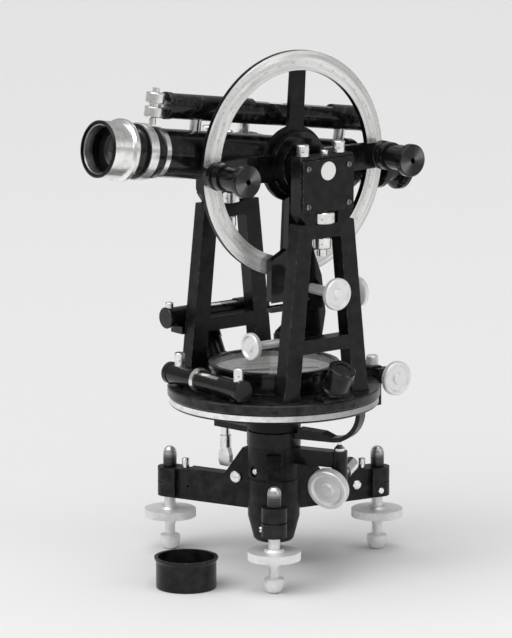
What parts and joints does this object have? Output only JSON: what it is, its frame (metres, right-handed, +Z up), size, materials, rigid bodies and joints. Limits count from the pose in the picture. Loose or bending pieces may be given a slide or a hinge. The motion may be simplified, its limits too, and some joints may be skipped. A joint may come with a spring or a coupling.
{
  "type": "transit theodolite",
  "caption": "Surveyor's transit theodolite: telescope with long level and vertical circle on A-frame standards, vernier plate with compass, and a levelling base with foot screws.",
  "frame": {"origin": "mouth of the centre bore under the tribrach's hub, on the vertical axis", "axes": "+Z up along the vertical axis, +X along the trunnion axis towards the vertical circle, the telescope looks along -Y"},
  "size_m": [0.1513, 0.2255, 0.3048],
  "materials": {
    "black_lacquer": "worn black lacquer",
    "bright_nickel": "bright nickel",
    "frosted_nickel": "frosted nickel",
    "silvered": "matt silvered",
    "bell_metal": "turned bell metal",
    "optical_glass": "polished",
    "blue_steel": "blued"
  },
  "bodies": {
    "tribrach": {"tribrach": "black_lacquer", "boss_screws": "bright_nickel", "arm_screws": "bright_nickel", "lower_clamp_collar": "black_lacquer", "lower_spring_box": "bright_nickel", "tangent_arm": "black_lacquer"},
    "foot_front": {"foot_screw_front": "frosted_nickel"},
    "foot_right": {"foot_screw_right": "frosted_nickel"},
    "foot_left": {"foot_screw_left": "frosted_nickel"},
    "lower_clamp": {"lower_clamp_screw": "bright_nickel"},
    "lower_tangent": {"lower_tangent_screw": "frosted_nickel"},
    "lower_plate": {"outer_centre": "bell_metal", "limb": "silvered"},
    "alidade": {"inner_centre": "bell_metal", "vernier_plate": "black_lacquer", "vernier_covers": "black_lacquer", "vernier_scales": "silvered", "magnifier_front": "black_lacquer", "magnifier_back": "black_lacquer", "tangent_bracket": "black_lacquer", "compass_box": "black_lacquer", "compass_dial": "silvered", "compass_glass": "optical_glass", "plate_level": "black_lacquer", "plate_level_vial": "optical_glass", "side_level": "black_lacquer", "side_level_vial": "optical_glass", "level_nuts": "bright_nickel", "standard_front": "black_lacquer", "standard_back": "black_lacquer", "bearing_covers": "black_lacquer", "cover_screws": "bright_nickel", "bearing_nuts": "bright_nickel", "vernier_frame": "black_lacquer", "microscope_left": "black_lacquer", "microscope_right": "black_lacquer", "microscope_rings": "bright_nickel", "clip_arm": "black_lacquer"},
    "upper_clamp": {"upper_clamp_screw": "frosted_nickel"},
    "upper_tangent": {"upper_tangent_screw": "frosted_nickel"},
    "needle": {"compass_needle": "blue_steel"},
    "vertical_clamp": {"vertical_clamp_screw": "frosted_nickel"},
    "vertical_tangent": {"vertical_tangent_screw": "frosted_nickel"},
    "clip": {"clip_screw": "frosted_nickel"},
    "telescope": {"trunnion": "black_lacquer", "telescope_tube": "black_lacquer", "telescope_bands": "bright_nickel", "reticle_screws": "bright_nickel", "vertical_circle": "silvered", "circle_hub": "bright_nickel", "telescope_level": "black_lacquer", "telescope_level_vial": "optical_glass", "telescope_level_posts": "bright_nickel"},
    "objective": {"objective_cell": "bright_nickel", "objective_lens": "optical_glass"},
    "eyepiece": {"eyepiece": "black_lacquer", "eyepiece_lens": "optical_glass"},
    "focus": {"focus_pinion": "frosted_nickel"},
    "cap": {"lens_cap": "black_lacquer"}
  },
  "joints": [
    {"name": "foot_front_turn", "type": "hinge", "parent": "tribrach", "child": "foot_front", "pos_m": [0.05571, -0.04353, 0.018], "axis": [0, 0, 1], "range_deg": [-720, 720]},
    {"name": "foot_right_turn", "type": "hinge", "parent": "tribrach", "child": "foot_right", "pos_m": [0.00984, 0.07001, 0.018], "axis": [0, 0, 1], "range_deg": [-720, 720]},
    {"name": "foot_left_turn", "type": "hinge", "parent": "tribrach", "child": "foot_left", "pos_m": [-0.06555, -0.02649, 0.018], "axis": [0, 0, 1], "range_deg": [-720, 720]},
    {"name": "lower_clamp_turn", "type": "hinge", "parent": "tribrach", "child": "lower_clamp", "pos_m": [-0.03742, -0.0066, 0.0569], "axis": [0, 0, 1], "range_deg": [-90, 90]},
    {"name": "lower_tangent_turn", "type": "hinge", "parent": "tribrach", "child": "lower_tangent", "pos_m": [0.03742, 0.01907, 0.0414], "axis": [0.4405, -0.8645, -0.2419], "range_deg": [-720, 720]},
    {"name": "lower_plate_turn", "type": "hinge", "parent": "tribrach", "child": "lower_plate", "pos_m": [0, 0, 0.0817], "axis": [0, 0, 1], "continuous": true},
    {"name": "alidade_turn", "type": "hinge", "parent": "lower_plate", "child": "alidade", "pos_m": [0, 0, 0.0926], "axis": [0, 0, 1], "continuous": true},
    {"name": "upper_clamp_turn", "type": "hinge", "parent": "alidade", "child": "upper_clamp", "pos_m": [0.012, 0.064, 0.0926], "axis": [0, 0, 1], "range_deg": [-180, 180]},
    {"name": "upper_tangent_turn", "type": "hinge", "parent": "alidade", "child": "upper_tangent", "pos_m": [0.031, 0.0685, 0.0918], "axis": [1, 0, 0], "range_deg": [-720, 720]},
    {"name": "needle_turn", "type": "hinge", "parent": "alidade", "child": "needle", "pos_m": [0, 0, 0.1016], "axis": [0, 0, 1], "continuous": true},
    {"name": "vertical_clamp_turn", "type": "hinge", "parent": "alidade", "child": "vertical_clamp", "pos_m": [0.055, 0.004, 0.1533], "axis": [1, 0, 0], "range_deg": [-180, 180]},
    {"name": "vertical_tangent_turn", "type": "hinge", "parent": "alidade", "child": "vertical_tangent", "pos_m": [0.0221, 0.043, 0.1453], "axis": [0, 1, 0], "range_deg": [-720, 720]},
    {"name": "clip_turn", "type": "hinge", "parent": "alidade", "child": "clip", "pos_m": [0.0221, -0.032, 0.1223], "axis": [0, 1, 0], "range_deg": [-360, 360]},
    {"name": "telescope_tilt", "type": "hinge", "parent": "alidade", "child": "telescope", "pos_m": [0, 0, 0.2248], "axis": [-1, 0, 0], "range_deg": [-60, 220]},
    {"name": "objective_slide", "type": "slide", "parent": "telescope", "child": "objective", "axis": [0, -0.989, 0.1478], "range_m": [0, 0.008]},
    {"name": "eyepiece_slide", "type": "slide", "parent": "telescope", "child": "eyepiece", "axis": [0, 0.989, -0.1478], "range_m": [0, 0.004]},
    {"name": "focus_turn", "type": "hinge", "parent": "telescope", "child": "focus", "pos_m": [-0.022, -0.02967, 0.22923], "axis": [-1, 0, 0], "range_deg": [0, 184]},
    {"name": "cap_lift", "type": "slide", "parent": "tribrach", "child": "cap", "axis": [0, 0, 1], "range_m": [0, 0.06]}
  ],
  "couplings": [
    {"joint": "focus_turn", "follows": "objective_slide", "rad_per_m": 400}
  ]
}
